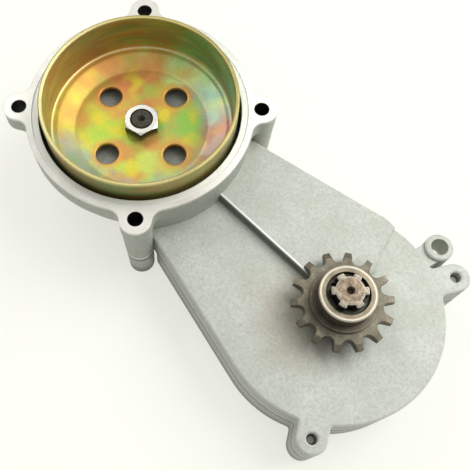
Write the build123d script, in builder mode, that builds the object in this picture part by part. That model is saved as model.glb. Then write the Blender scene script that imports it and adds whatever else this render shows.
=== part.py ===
from build123d import *
from math import acos, asin, atan2, cos, degrees, hypot, pi, radians, sin, tan
import os

# Reduction gearbox with clutch drum for a small two-stroke engine, in millimetres.
# The origin is the middle of the four engine ears, on the machined rim face. +Z points out of
# the mouth of the clutch drum, and +X runs from the clutch shaft to the output shaft.

os.makedirs("parts", exist_ok=True)

# Shafts and gears
shaft_distance = 114.0
gear_module = 1.5
pressure_angle = 20.0
input_teeth = 15
idler_teeth = 23
output_teeth = 50
addendum = 1.2
dedendum = 1.5
backlash = 0.16
first_idler_angle = -6.0
gear_width = 8.0
gear_gap = 0.9

# Heights of the case: engine face at zero, lower face, raised step, parting plane, back
face_z = -18.0
step_height = 4.5
split_z = -29.5
back_z = -46.0
gasket_thickness = 0.5

# Plan of the gear case
clutch_end_r = 21.4
case_end_r = 45.4
case_end_shift_x = -1.4
case_end_shift_y = -2.0
case_wall = 3.2
face_wall = 3.4
cover_floor = 3.0
step_y = 0.6
step_slope = 3.6
step_run = 8.5
step_edge_r = 1.6
step_end_x = 0.4
step_end_inset = 23.4
step_end_bulge = 3.2
step_end_middle_inset = 13.4
step_end_back = 6.4
face_edge = 0.6
cover_edge = 1.2

# Cup round the drum, from its gap outwards
drum_gap = 1.6
register_width = 2.7
rim_width = 2.6
register_depth = 0.6
cup_depth = 18.4
cup_floor = 3.0
cup_straight = 9.0
cup_taper = 4.4
cup_foot_inset = 0.4
cup_corner_r = 2.0

# Engine ears and posts
ear_inset = 12.0
ear_r = 6.6
ear_hole_d = 6.4
ear_thickness = 8.0
ear_root_fillet = 5.0
post_foot_r = 5.6
post_shoulder = 0.2
gusset_depth = 19.0
gusset_foot_r = 4.2
gusset_foot_inset = 6.5
cover_relief = 0.5

# Ears at the round end and the screws that close the case
upper_ear_angle = 60.5
upper_ear_reach = 5.5
lower_ear_angle = -59.5
lower_ear_reach = 6.6
cover_ear_r = 6.0
cover_ear_fillet = 1.5
clutch_ear_angle = 140.0
clutch_ear_reach = 5.1
mount_ear_spacing = 12.44
mount_ear_reach = 6.2
mount_ear_r = 5.9
mount_hole_d = 7.0
mount_neck_r = 4.6
mount_neck_drop = 1.5
screw_d = 4.0
screw_exit_d = 4.3
screw_exit_chamfer = 0.6
screw_length = 20.0
screw_tip_chamfer = 0.6
screw_head_d = 7.0
screw_head_height = 4.0
screw_head_sink = 5.0
screw_socket = 3.0
screw_socket_depth = 2.0
head_room = 0.5
wall_boss_r = 4.6
wall_boss_inset = 6.6
wall_boss_reach = 0.2
lower_boss_x = 62.0
upper_boss_x = 76.0
dowel_d = 4.0
dowel_length = 10.0
dowel_boss_r = 3.8
dowel_inset = 1.9
dowel_angle = 50.0

# Clutch drum and its nut
drum_bore_d = 79.0
drum_sheet = 1.6
drum_rim_z = 8.5
drum_floor_z = -10.4
drum_dish = 3.0
drum_ledge = 2.9
drum_slope = 7.6
drum_corner_r = 1.6
drum_hole_d = 10.0
drum_hole_circle = 41.0
drum_seat_d = 12.0
drum_seat_flats = 10.2
nut_across_flats = 14.0
nut_height = 5.0
nut_thread_d = 10.0
nut_corner = 15.0
nut_bevel = 0.5

# Shafts
shaft_tip_over_nut = 0.2
tail_d = 10.0
tail_collar_d = 12.8
input_shoulder_d = 15.4
spacer_d = 17.0
thread_step = 0.2
shaft_chamfer = 0.8
end_chamfer = 0.5
output_d = 15.0
output_tail_d = 12.0
output_collar_d = 19.0
output_end_z = 5.1
spline_d = 14.0
spline_root_d = 11.0
spline_tooth = 3.0
spline_count = 6
spline_angle = 45.0
centre_drill_d = 3.2
key_width = 5.0
key_height = 5.0
keyway_depth = 3.0

# Bearings: bore, outside diameter, width
input_bearing_size = (12.0, 28.0, 8.0)
input_tail_size = (10.0, 19.0, 5.0)
output_bearing_size = (15.0, 32.0, 9.0)
output_tail_size = (12.0, 21.0, 5.0)
bearing_wall = 3.2
tail_boss_wall = 2.8
tail_gap = 1.1
shield_sheet = 0.4
shield_gap = 0.15
ball_count = 8

# Idlers
idler_pin_d = 10.0
idler_bush_d = 13.0
idler_boss_r = 7.6
pin_end_cover = 1.5
washer_r = 7.2
washer_thickness = 0.6

# Output gear
web_inner_r = 12.5
web_outer_r = 31.0
web_recess = 2.0
web_hole_d = 11.0
web_hole_count = 5
circlip_thickness = 1.0
gear_circlip_r = 9.6

# Sprocket for 8 mm roller chain
chain_pitch = 8.0
roller_d = 5.0
sprocket_teeth = 14
sprocket_tip_d = 40.0
sprocket_top_z = -7.35
sprocket_plate = 4.4
sprocket_tooth_angle = 21.5
seat_half_angle = 66.0
sprocket_hub_d = 22.1
sprocket_hub_top_z = 1.7
sprocket_step_d = 26.4
sprocket_step_height = 1.5
sprocket_counterbore_d = 16.8
sprocket_counterbore_depth = 2.6
tooth_gap_at_tip = 6.5
tooth_bevel_r = 17.6
tooth_bevel_thickness = 2.6
circlip_ear_r = 1.7
circlip_ear_distance = 6.4
circlip_first_ear = 134.0
circlip_second_ear = 190.0

# Fits, as play on the radius or on each side
slip = 0.01
running = 0.04
opening_play = 0.5

# Worked out from the sizes above
drum_inner_r = drum_bore_d / 2
drum_ledge_r = drum_inner_r - drum_ledge
drum_dish_r = drum_ledge_r - drum_slope
cup_inner_r = drum_inner_r + drum_sheet + drum_gap
register_r = cup_inner_r + register_width
cup_outer_r = register_r + rim_width
cup_low_r = cup_outer_r - cup_taper
cup_foot_r = cup_outer_r - cup_foot_inset
ear = cup_outer_r - ear_inset
gusset_foot_distance = cup_outer_r - gusset_foot_inset
dowel_distance = case_end_r - dowel_inset
mount_ear_angle = upper_ear_angle + degrees(mount_ear_spacing / case_end_r)
case_end = (shaft_distance + case_end_shift_x, case_end_shift_y)
step_z = face_z + step_height
cover_top_z = split_z - gasket_thickness
chamber_top_z = min(face_z - face_wall, -cup_depth - cup_floor)
gear_top_z = split_z - gear_gap
gear_low_z = gear_top_z - gear_width
chamber_low_z = back_z + cover_floor
tail_top_z = gear_low_z - tail_gap
dish_z = drum_floor_z - drum_dish
drum_under_z = dish_z - drum_sheet
input_bearing_top_z = -cup_depth - 2.0
input_bearing_low_z = input_bearing_top_z - input_bearing_size[2]
output_bearing_top_z = split_z + output_bearing_size[2]
screw_head_z = back_z + screw_head_sink
screw_tip_z = screw_head_z + screw_length
pin_low_z = back_z + pin_end_cover
pin_top_z = chamber_top_z - pin_end_cover + 1.0
boss_low_top_z = gear_low_z - gear_gap
circlip_z = sprocket_hub_top_z - sprocket_counterbore_depth
circlip_groove_r = spline_d / 2 - 0.8


def pitch_radius(teeth):
    return gear_module * teeth / 2


def at(radius, angle, centre=(0.0, 0.0)):
    """A point at a radius and an angle in degrees round a centre."""
    return (centre[0] + radius * cos(radians(angle)), centre[1] + radius * sin(radians(angle)))


output_axis = (shaft_distance, 0.0)
near_centres = pitch_radius(input_teeth) + pitch_radius(idler_teeth)
idler_centres = 2 * pitch_radius(idler_teeth)
far_centres = pitch_radius(idler_teeth) + pitch_radius(output_teeth)
idler_1 = at(near_centres, first_idler_angle)

# The second idler closes the triangle between the first idler and the output shaft
span = hypot(output_axis[0] - idler_1[0], output_axis[1] - idler_1[1])
span_angle = degrees(atan2(output_axis[1] - idler_1[1], output_axis[0] - idler_1[0]))
rise_cosine = (idler_centres ** 2 + span ** 2 - far_centres ** 2) / (2 * idler_centres * span)
idler_2 = at(idler_centres, span_angle + degrees(acos(rise_cosine)), idler_1)


def direction(start, end):
    return degrees(atan2(end[1] - start[1], end[0] - start[0]))


def meshing_phase(teeth, phase, next_teeth, angle):
    """Angle of a tooth of the next gear, so that it meshes along the line at this angle."""
    return angle + 180 + 180 / next_teeth - teeth / next_teeth * (phase - angle)


input_phase = 0.0
idler_1_phase = meshing_phase(input_teeth, input_phase, idler_teeth, direction((0, 0), idler_1))
idler_2_phase = meshing_phase(idler_teeth, idler_1_phase, idler_teeth, direction(idler_1, idler_2))
output_phase = meshing_phase(idler_teeth, idler_2_phase, output_teeth, direction(idler_2, output_axis))

# The straight sides of the case are the common tangents of its two end circles
case_length = hypot(case_end[0], case_end[1])
side_lean = degrees(asin((case_end_r - clutch_end_r) / case_length))
case_heading = direction((0, 0), case_end)


def side_point(x, side, inset):
    """A point at this x, set in from the upper (side 1) or lower (side -1) wall of the case."""
    normal = radians(case_heading + side * (90 + side_lean))
    return (x, (clutch_end_r - inset - x * cos(normal)) / sin(normal))


upper_ear = at(case_end_r + upper_ear_reach, upper_ear_angle, output_axis)
lower_ear = at(case_end_r + lower_ear_reach, lower_ear_angle, output_axis)
cover_ears = [upper_ear, lower_ear]
clutch_ears = [at(clutch_end_r + clutch_ear_reach, side * clutch_ear_angle) for side in (1, -1)]
wall_bosses = [side_point(lower_boss_x, -1, wall_boss_inset), side_point(upper_boss_x, 1, wall_boss_inset)]
screw_spots = cover_ears + clutch_ears + wall_bosses
dowel_spots = [at(dowel_distance, side * dowel_angle, output_axis) for side in (1, -1)]
mount_ear = at(case_end_r + mount_ear_reach, mount_ear_angle, output_axis)
engine_ears = [(ear, ear), (-ear, ear), (-ear, -ear), (ear, -ear)]
engine_posts = [(ear, ear), (ear, -ear)]
short_ears = [(-ear, ear), (-ear, -ear)]


def case_hull(inset=0.0):
    """Plan of the gear case: the two end circles and their tangents."""
    with Locations((0, 0)):
        Circle(clutch_end_r - inset)
    with Locations(case_end):
        Circle(case_end_r - inset)
    make_hull()


def ear_slot(tip, root, radius):
    """Plan of an ear with parallel sides and a round tip, from its hole back to its root."""
    middle = ((tip[0] + root[0]) / 2, (tip[1] + root[1]) / 2)
    with Locations(Location((middle[0], middle[1], 0), (0, 0, direction(root, tip)))):
        SlotCenterToCenter(hypot(tip[0] - root[0], tip[1] - root[1]), 2 * radius)


def ear_roots(plan, tips, radius):
    """Corners of a plan where its ears leave the wall behind them."""
    corners = []
    for corner in plan.vertices():
        reach = min(hypot(corner.X - tip[0], corner.Y - tip[1]) for tip in tips)
        if 1.05 * radius < reach < 2.2 * radius:
            corners.append(corner)
    return corners


def joint_plan(plan):
    """Outline shared by the housing, the gasket and the cover at the parting plane."""
    case_hull()
    for tip, angle in ((upper_ear, upper_ear_angle), (lower_ear, lower_ear_angle)):
        ear_slot(tip, at(case_end_r - 2 * cover_ear_r, angle, output_axis), cover_ear_r)
    for side, tip in zip((1, -1), clutch_ears):
        ear_slot(tip, at(clutch_end_r - 2 * cover_ear_r, side * clutch_ear_angle), cover_ear_r)
    fillet(ear_roots(plan, cover_ears + clutch_ears, cover_ear_r), cover_ear_fillet)


def chamber_cut():
    """Plan of the gear chamber, with the screw and dowel bosses left standing in it."""
    case_hull(case_wall)
    for spot in wall_bosses:
        reach = abs(spot[1]) * wall_boss_reach
        middle_y = spot[1] * (1 + wall_boss_reach)
        with Locations(Location((spot[0], middle_y, 0), (0, 0, 90))):
            SlotCenterToCenter(2 * reach, 2 * wall_boss_r, mode=Mode.SUBTRACT)
    with Locations(*dowel_spots):
        Circle(dowel_boss_r, mode=Mode.SUBTRACT)


def bore(spots, diameter, low, high):
    """Round holes down the Z axis between two heights."""
    with BuildSketch(Plane.XY.offset(low)) as plan:
        with Locations(*spots):
            Circle(diameter / 2)
    extrude(plan.sketch, amount=high - low, mode=Mode.SUBTRACT)


def boss(spots, radius, low, high):
    """Round bosses along the Z axis between two heights."""
    with BuildSketch(Plane.XY.offset(low)) as plan:
        with Locations(*spots):
            Circle(radius)
    extrude(plan.sketch, amount=high - low)


def finish(piece, name):
    """Name a finished piece and write it."""
    piece.part.label = name
    export_step(piece.part, f"parts/{name}.step")


# Main housing: cup with its rim and ears, gear case with the raised step, posts and seats
with BuildPart() as main_housing:
    with BuildSketch(Plane.XY.offset(split_z)) as case_outline:
        joint_plan(case_outline)
    extrude(amount=face_z - split_z)
    chamfer(main_housing.faces().sort_by(Axis.Z)[-1].outer_wire().edges(), face_edge)
    with BuildSketch(Plane.XY.offset(split_z)):
        ear_slot(mount_ear, at(case_end_r - mount_ear_r, mount_ear_angle, output_axis), mount_neck_r)
    extrude(amount=face_z - mount_neck_drop - split_z)
    boss([mount_ear], mount_ear_r, split_z, face_z)
    chamfer(main_housing.faces(Select.LAST).sort_by(Axis.Z)[-1].outer_wire().edges(), face_edge)

    # Raised step on the upper half, with its sloping end beside the sprocket
    with BuildSketch(Plane.XY.offset(face_z - 2 * face_edge)):
        case_hull()
        with BuildLine():
            end_top = (shaft_distance - step_end_back, case_end_r)
            end_low = (shaft_distance + step_end_x, case_end_r - step_end_inset)
            Polyline(end_low, (end_low[0], step_y), (0, step_y), (0, case_end_r), end_top)
            end_middle = (shaft_distance - step_end_bulge, case_end_r - step_end_middle_inset)
            ThreePointArc(end_top, end_middle, end_low)
        make_face(mode=Mode.INTERSECT)
    extrude(amount=step_height + 2 * face_edge)
    step_top = main_housing.edges().filter_by_position(Axis.Z, step_z - 0.01, step_z + 0.01)
    step_end = step_top.sort_by_distance((end_low[0], end_low[1], step_z))[:2]
    tops = main_housing.faces().filter_by(Axis.Z)
    step_face = tops.sort_by_distance((shaft_distance / 2, case_end_r / 2, step_z))[0]
    chamfer(step_end, step_run, step_slope, reference=step_face)
    step_top = main_housing.edges().filter_by_position(Axis.Z, step_z - 0.01, step_z + 0.01)
    step_outer = step_top.filter_by(lambda edge: edge.center().Y > 25 and edge.length > 40)
    fillet(step_outer, step_edge_r)

    # Cup wall and floor, with a straight wall where it stands on the gear case
    with BuildSketch(Plane.XZ):
        Polygon((0, -cup_depth - cup_floor), (cup_low_r, -cup_depth - cup_floor),
                (cup_outer_r, -cup_straight), (cup_outer_r, 0), (0, 0), align=None)
    revolve(axis=Axis.Z)
    with BuildSketch(Plane.XY.offset(-cup_depth - cup_floor)):
        case_hull()
        Circle(cup_foot_r, mode=Mode.INTERSECT)
    extrude(amount=cup_depth + cup_floor - cup_straight / 2)

    # Rim with four engine ears
    with BuildSketch(Plane.XY.offset(-ear_thickness)) as rim:
        Circle(cup_outer_r)
        with Locations(*engine_ears):
            Circle(ear_r)
        corners = [v for v in rim.vertices() if abs(hypot(v.X, v.Y) - cup_outer_r) < 0.01]
        fillet([v for v in corners if abs(abs(v.X) - ear) < 2 * ear_r], ear_root_fillet)
    extrude(amount=ear_thickness)

    # Full posts beside the gear case, and short gussets under the two free ears
    for spot in engine_posts:
        with BuildSketch(Plane.XY.offset(back_z)):
            with Locations(spot):
                Circle(post_foot_r)
        with BuildSketch(Plane.XY.offset(-ear_thickness)):
            with Locations(spot):
                Circle(ear_r - post_shoulder)
        loft()
    for spot in short_ears:
        with BuildSketch(Plane.XY.offset(-gusset_depth)):
            with Locations(at(gusset_foot_distance, direction((0, 0), spot))):
                Circle(gusset_foot_r)
        with BuildSketch(Plane.XY.offset(-ear_thickness)):
            with Locations(spot):
                Circle(ear_r - post_shoulder)
        loft()

    # Hollow of the cup, with the register step at its mouth
    with BuildSketch(Plane.XZ) as cup_hollow:
        with BuildLine():
            Polyline((0, -cup_depth), (cup_inner_r, -cup_depth), (cup_inner_r, -register_depth),
                     (register_r, -register_depth), (register_r, 1), (0, 1), close=True)
        make_face()
        corner = cup_hollow.vertices().sort_by_distance((cup_inner_r, -cup_depth))[0]
        fillet(corner, cup_corner_r)
    revolve(axis=Axis.Z, mode=Mode.SUBTRACT)

    # Gear chamber with its bearing, pin, screw and dowel bosses left standing
    with BuildSketch(Plane.XY.offset(split_z)):
        chamber_cut()
        Circle(input_bearing_size[1] / 2 + bearing_wall, mode=Mode.SUBTRACT)
        with Locations(output_axis):
            Circle(output_bearing_size[1] / 2 + bearing_wall, mode=Mode.SUBTRACT)
        with Locations(idler_1, idler_2):
            Circle(idler_boss_r, mode=Mode.SUBTRACT)
    extrude(amount=chamber_top_z - split_z, mode=Mode.SUBTRACT)

    # Bearing seats, shaft holes and pin holes
    bore([(0, 0)], input_bearing_size[1] + 2 * slip, split_z, input_bearing_top_z)
    bore([(0, 0)], spacer_d + 2 * opening_play, input_bearing_top_z, -cup_depth + 1)
    bore([output_axis], output_bearing_size[1] + 2 * slip, split_z, output_bearing_top_z)
    bore([output_axis], sprocket_hub_d + 2 * opening_play, output_bearing_top_z, step_z + 1)
    bore([idler_1, idler_2], idler_pin_d + 2 * slip, split_z, pin_top_z)

    # Engine bolt holes, frame hole, screw holes and dowel holes
    bore(engine_ears, ear_hole_d, back_z - 1, 1)
    bore([mount_ear], mount_hole_d, split_z - 1, face_z + 1)
    bore(screw_spots, screw_d + 2 * slip, split_z, screw_tip_z + 0.3)
    bore(cover_ears, screw_exit_d, screw_tip_z, face_z + 1)
    bore(dowel_spots, dowel_d + 2 * slip, split_z, split_z + dowel_length / 2 + 0.2)
    face_edges = main_housing.edges().filter_by_position(Axis.Z, face_z - 0.01, face_z + 0.01)
    rings = face_edges.filter_by(GeomType.CIRCLE)
    chamfer(rings.filter_by(lambda edge: abs(edge.radius - screw_exit_d / 2) < 0.01), screw_exit_chamfer)
finish(main_housing, "main_housing")

# Back cover: a dish of the same outline, with the tail bearing and pin seats
with BuildPart() as back_cover:
    with BuildSketch(Plane.XY.offset(back_z)) as cover_outline:
        joint_plan(cover_outline)
        with Locations(*engine_posts):
            Circle(ear_r + cover_relief, mode=Mode.SUBTRACT)
    extrude(amount=cover_top_z - back_z)
    chamfer(back_cover.faces().sort_by(Axis.Z)[0].outer_wire().edges(), cover_edge)
    with BuildSketch(Plane.XY.offset(chamber_low_z)):
        chamber_cut()
    extrude(amount=cover_top_z - chamber_low_z, mode=Mode.SUBTRACT)
    boss([(0, 0)], input_tail_size[1] / 2 + tail_boss_wall, chamber_low_z, tail_top_z)
    boss([output_axis], output_tail_size[1] / 2 + tail_boss_wall, chamber_low_z, tail_top_z)
    boss([idler_1, idler_2], idler_boss_r, chamber_low_z, boss_low_top_z)
    bore([(0, 0)], input_tail_size[1] + 2 * slip, tail_top_z - input_tail_size[2], tail_top_z)
    bore([output_axis], output_tail_size[1] + 2 * slip, tail_top_z - output_tail_size[2], tail_top_z)
    bore([idler_1, idler_2], idler_pin_d + 2 * slip, pin_low_z, boss_low_top_z)
    bore(screw_spots, screw_d + opening_play, back_z - 1, cover_top_z)
    bore(screw_spots, screw_head_d + 2 * head_room, back_z - 1, screw_head_z)
    bore(dowel_spots, dowel_d + 2 * slip, cover_top_z - dowel_length / 2, cover_top_z)
finish(back_cover, "back_cover")

# Paper gasket between them
with BuildPart() as case_gasket:
    with BuildSketch(Plane.XY.offset(cover_top_z)) as gasket_outline:
        joint_plan(gasket_outline)
        with Locations(*engine_posts):
            Circle(ear_r + cover_relief, mode=Mode.SUBTRACT)
        with BuildSketch(mode=Mode.SUBTRACT):
            chamber_cut()
        with Locations(*screw_spots):
            Circle(screw_d / 2 + opening_play / 2, mode=Mode.SUBTRACT)
        with Locations(*dowel_spots):
            Circle(dowel_d / 2 + slip, mode=Mode.SUBTRACT)
    extrude(amount=gasket_thickness)
finish(case_gasket, "case_gasket")

# Socket head screws, driven from the back
with BuildPart() as cover_screws:
    boss(screw_spots, screw_head_d / 2, screw_head_z - screw_head_height, screw_head_z)
    boss(screw_spots, screw_d / 2 - slip, screw_head_z, screw_tip_z)
    with BuildSketch(Plane.XY.offset(screw_head_z - screw_head_height)):
        with Locations(*screw_spots):
            RegularPolygon(screw_socket / 2, 6, major_radius=False)
    extrude(amount=screw_socket_depth, mode=Mode.SUBTRACT)
    tip_edges = cover_screws.edges().filter_by_position(Axis.Z, screw_tip_z - 0.01, screw_tip_z + 0.01)
    chamfer(tip_edges, screw_tip_chamfer)
finish(cover_screws, "cover_screws")

with BuildPart() as dowel_pins:
    boss(dowel_spots, dowel_d / 2, split_z - dowel_length / 2, split_z + dowel_length / 2)
finish(dowel_pins, "dowel_pins")

# Clutch drum: one pressed sheet, dished floor, four round holes and a seat with two flats
with BuildPart() as clutch_drum:
    with BuildSketch(Plane.XZ):
        with BuildLine():
            FilletPolyline((drum_inner_r, drum_rim_z), (drum_inner_r, drum_floor_z),
                           (drum_ledge_r, drum_floor_z), (drum_dish_r, dish_z), (0, dish_z),
                           radius=drum_corner_r)
            offset(amount=drum_sheet, side=Side.LEFT)
        make_face()
    revolve(axis=Axis.Z)
    with BuildSketch(Plane.XY.offset(drum_under_z - 1)):
        with PolarLocations(drum_hole_circle / 2, 4):
            Circle(drum_hole_d / 2)
        with BuildSketch():
            Circle(drum_seat_d / 2 + slip)
            Rectangle(drum_seat_d * 2, drum_seat_flats + 2 * slip, mode=Mode.INTERSECT)
    extrude(amount=drum_sheet + 2, mode=Mode.SUBTRACT)
finish(clutch_drum, "clutch_drum")

# Thin hexagon nut on the end of the input shaft
with BuildPart() as drum_nut:
    with BuildSketch(Plane.XY.offset(dish_z)):
        RegularPolygon(nut_across_flats / 2, 6, major_radius=False, rotation=nut_corner)
        Circle(nut_thread_d / 2 + slip, mode=Mode.SUBTRACT)
    extrude(amount=nut_height)
    with BuildSketch(Plane.XZ):
        with BuildLine():
            edge_r = nut_across_flats / 2 / cos(radians(30)) + nut_bevel
            flat_r = nut_across_flats / 2
            Polyline((0, dish_z), (flat_r, dish_z), (edge_r, dish_z + nut_bevel),
                     (edge_r, dish_z + nut_height - 2 * nut_bevel), (flat_r, dish_z + nut_height),
                     (0, dish_z + nut_height), close=True)
        make_face()
    revolve(axis=Axis.Z, mode=Mode.INTERSECT)
finish(drum_nut, "drum_nut")


def flank_half_angle(teeth, radius):
    """Half the angle of a tooth at this radius, on an involute flank."""
    pitch_r = pitch_radius(teeth)
    base_r = pitch_r * cos(radians(pressure_angle))
    roll = acos(min(1.0, base_r / radius))
    involute = tan(roll) - roll
    pitch_involute = tan(radians(pressure_angle)) - radians(pressure_angle)
    half_pitch = pi / (2 * teeth) - backlash / (4 * pitch_r)
    return degrees(half_pitch + pitch_involute - involute)


def spur_gear_plan(teeth, phase, centre):
    """Outline of a spur gear with stub teeth and a tooth centred at the phase angle."""
    pitch_r = pitch_radius(teeth)
    root_r = pitch_r - dedendum
    tip_r = pitch_r + addendum
    start_r = max(root_r, pitch_r * cos(radians(pressure_angle)))
    middle_r = (start_r + tip_r) / 2
    root_half = flank_half_angle(teeth, start_r)
    middle_half = flank_half_angle(teeth, middle_r)
    tip_half = flank_half_angle(teeth, tip_r)
    pitch = 360 / teeth
    with BuildLine() as outline:
        for number in range(teeth):
            tooth = phase + number * pitch
            flank_low = at(start_r, tooth - root_half, centre)
            tip_low = at(tip_r, tooth - tip_half, centre)
            tip_high = at(tip_r, tooth + tip_half, centre)
            flank_high = at(start_r, tooth + root_half, centre)
            next_flank = at(start_r, tooth + pitch - root_half, centre)
            ThreePointArc(flank_low, at(middle_r, tooth - middle_half, centre), tip_low)
            Line(tip_low, tip_high)
            ThreePointArc(tip_high, at(middle_r, tooth + middle_half, centre), flank_high)
            root_high = at(root_r, tooth + root_half, centre)
            root_next = at(root_r, tooth + pitch - root_half, centre)
            if start_r > root_r:
                Polyline(flank_high, root_high, root_next, next_flank)
            else:
                Line(flank_high, next_flank)
    make_face(outline.edges())


# Input shaft with its pinion cut from the solid
with BuildPart() as input_shaft:
    thread_top_z = dish_z + nut_height + shaft_tip_over_nut
    seat_top_z = dish_z - thread_step
    shoulder_z = input_bearing_low_z
    boss([(0, 0)], nut_thread_d / 2, seat_top_z, thread_top_z)
    chamfer(input_shaft.edges().sort_by(Axis.Z)[-1], shaft_chamfer)
    boss([(0, 0)], drum_seat_d / 2, shoulder_z, seat_top_z)
    with BuildSketch(Plane.XY.offset(drum_under_z - 0.3)):
        Circle(drum_seat_d)
        Rectangle(drum_seat_d * 3, drum_seat_flats, mode=Mode.SUBTRACT)
    extrude(amount=seat_top_z - drum_under_z + 0.3, mode=Mode.SUBTRACT)
    boss([(0, 0)], input_shoulder_d / 2, gear_top_z, shoulder_z)
    with BuildSketch(Plane.XY.offset(gear_low_z)):
        spur_gear_plan(input_teeth, input_phase, (0.0, 0.0))
    extrude(amount=gear_width)
    boss([(0, 0)], tail_collar_d / 2, tail_top_z, gear_low_z)
    boss([(0, 0)], tail_d / 2 - slip, tail_top_z - input_tail_size[2] + 0.1, tail_top_z)
    with Locations((0, 0, thread_top_z - centre_drill_d / 4)):
        Cone(0.2, centre_drill_d / 2, centre_drill_d / 2, mode=Mode.SUBTRACT)
finish(input_shaft, "input_shaft")

# Spacer sleeve that carries the drum on the bearing's inner ring
with BuildPart() as drum_spacer:
    boss([(0, 0)], spacer_d / 2, input_bearing_top_z, drum_under_z)
    bore([(0, 0)], drum_seat_d + 2 * slip, input_bearing_top_z, drum_under_z)
finish(drum_spacer, "drum_spacer")


def bearing_sizes(size):
    """Ring thickness, ball radius and ball circle radius of a bearing."""
    section = (size[1] - size[0]) / 2
    return section * 0.28, section * 0.27, (size[0] + size[1]) / 4


# Ball bearings: an outer ring with two shields, an inner ring and the balls between them
bearings = [("input_bearing", (0.0, 0.0), input_bearing_low_z, input_bearing_size),
            ("input_tail_bearing", (0.0, 0.0), tail_top_z - input_tail_size[2], input_tail_size),
            ("output_bearing", output_axis, split_z, output_bearing_size),
            ("output_tail_bearing", output_axis, tail_top_z - output_tail_size[2], output_tail_size)]
for name, centre, low, size in bearings:
    ring, ball_r, ball_circle_r = bearing_sizes(size)
    bore_r, outside_r, width = size[0] / 2, size[1] / 2, size[2]
    shaft_line = Axis((centre[0], centre[1], 0), (0, 0, 1))
    side_view = Plane(origin=(centre[0], centre[1], low), x_dir=(1, 0, 0), z_dir=(0, -1, 0))
    with BuildPart() as outer_ring:
        with BuildSketch(side_view):
            with Locations((outside_r - ring / 2, width / 2)):
                Rectangle(ring, width)
            shield_r = bore_r + ring + shield_gap
            for height in (shield_sheet, width - shield_sheet):
                with Locations(((shield_r + outside_r - ring / 2) / 2, height)):
                    Rectangle(outside_r - ring / 2 - shield_r, shield_sheet)
            with Locations((ball_circle_r, width / 2)):
                Circle(ball_r + slip, mode=Mode.SUBTRACT)
        revolve(axis=shaft_line)
    finish(outer_ring, f"{name}_outer_ring")
    with BuildPart() as inner_ring:
        with BuildSketch(side_view):
            with Locations((bore_r + ring / 2, width / 2)):
                Rectangle(ring, width)
            with Locations((ball_circle_r, width / 2)):
                Circle(ball_r + running, mode=Mode.SUBTRACT)
        revolve(axis=shaft_line)
    finish(inner_ring, f"{name}_inner_ring")
    with BuildPart() as balls:
        with Locations((centre[0], centre[1], low + width / 2)):
            with PolarLocations(ball_circle_r, ball_count):
                Sphere(ball_r)
    finish(balls, f"{name}_balls")

# Two equal idlers on bronze bushes, each turning on a fixed pin between thrust washers
for number, centre, phase in ((1, idler_1, idler_1_phase), (2, idler_2, idler_2_phase)):
    with BuildPart() as idler_gear:
        with BuildSketch(Plane.XY.offset(gear_low_z)):
            spur_gear_plan(idler_teeth, phase, centre)
            with Locations(centre):
                Circle(idler_bush_d / 2 + slip, mode=Mode.SUBTRACT)
        extrude(amount=gear_width)
    finish(idler_gear, f"idler_gear_{number}")
    with BuildPart() as idler_bush:
        boss([centre], idler_bush_d / 2, gear_low_z, gear_top_z)
        bore([centre], idler_pin_d + 2 * running, gear_low_z, gear_top_z)
    finish(idler_bush, f"idler_bush_{number}")
    with BuildPart() as idler_pin:
        boss([centre], idler_pin_d / 2, pin_low_z, pin_top_z)
        chamfer(idler_pin.edges().filter_by(GeomType.CIRCLE), end_chamfer)
    finish(idler_pin, f"idler_pin_{number}")

with BuildPart() as idler_washers:
    for low in (split_z - washer_thickness, boss_low_top_z):
        boss([idler_1, idler_2], washer_r, low, low + washer_thickness)
        bore([idler_1, idler_2], idler_pin_d + 2 * slip, low, low + washer_thickness)
finish(idler_washers, "idler_washers")


def spline_plan(play):
    """Section of the splined shaft end, grown by some play."""
    Circle(spline_root_d / 2 + play)
    with PolarLocations(0, spline_count, start_angle=spline_angle):
        with Locations((spline_d / 4, 0)):
            Rectangle(spline_d / 2, spline_tooth + 2 * play)
    Circle(spline_d / 2 + play, mode=Mode.INTERSECT)


# Output shaft: tail, gear seat, collar, bearing seat and splined end
with BuildPart() as output_shaft:
    boss([output_axis], output_tail_d / 2 - slip, tail_top_z - output_tail_size[2] + 0.1, tail_top_z)
    boss([output_axis], output_d / 2 - slip, tail_top_z, output_bearing_top_z)
    boss([output_axis], output_collar_d / 2, gear_top_z, split_z)
    with BuildSketch(Plane(origin=(shaft_distance, 0, output_bearing_top_z))):
        spline_plan(0.0)
    extrude(amount=output_end_z - output_bearing_top_z)
    top_edges = output_shaft.edges().filter_by_position(Axis.Z, output_end_z - 0.01, output_end_z + 0.01)
    chamfer(top_edges, end_chamfer)
    with Locations((shaft_distance, 0, output_end_z - centre_drill_d / 4)):
        Cone(0.2, centre_drill_d / 2, centre_drill_d / 2, mode=Mode.SUBTRACT)
    with BuildSketch(Plane.XY.offset(circlip_z)):
        with Locations(output_axis):
            Circle(spline_d)
            Circle(circlip_groove_r, mode=Mode.SUBTRACT)
    extrude(amount=circlip_thickness, mode=Mode.SUBTRACT)
    with BuildSketch(Plane.XY.offset(gear_low_z - 0.1 - circlip_thickness)):
        with Locations(output_axis):
            Circle(output_d)
            Circle(output_d / 2 - 0.5, mode=Mode.SUBTRACT)
    extrude(amount=circlip_thickness, mode=Mode.SUBTRACT)
    with BuildSketch(Plane.XY.offset(gear_low_z)):
        with Locations((shaft_distance + output_d / 2 - keyway_depth + key_height / 2, 0)):
            Rectangle(key_height, key_width + 2 * slip)
    extrude(amount=gear_width, mode=Mode.SUBTRACT)
finish(output_shaft, "output_shaft")

with BuildPart() as output_key:
    with BuildSketch(Plane.XY.offset(gear_low_z)):
        with Locations((shaft_distance + output_d / 2 - keyway_depth + key_height / 2 + slip, 0)):
            Rectangle(key_height, key_width)
    extrude(amount=gear_width)
finish(output_key, "output_key")

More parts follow.
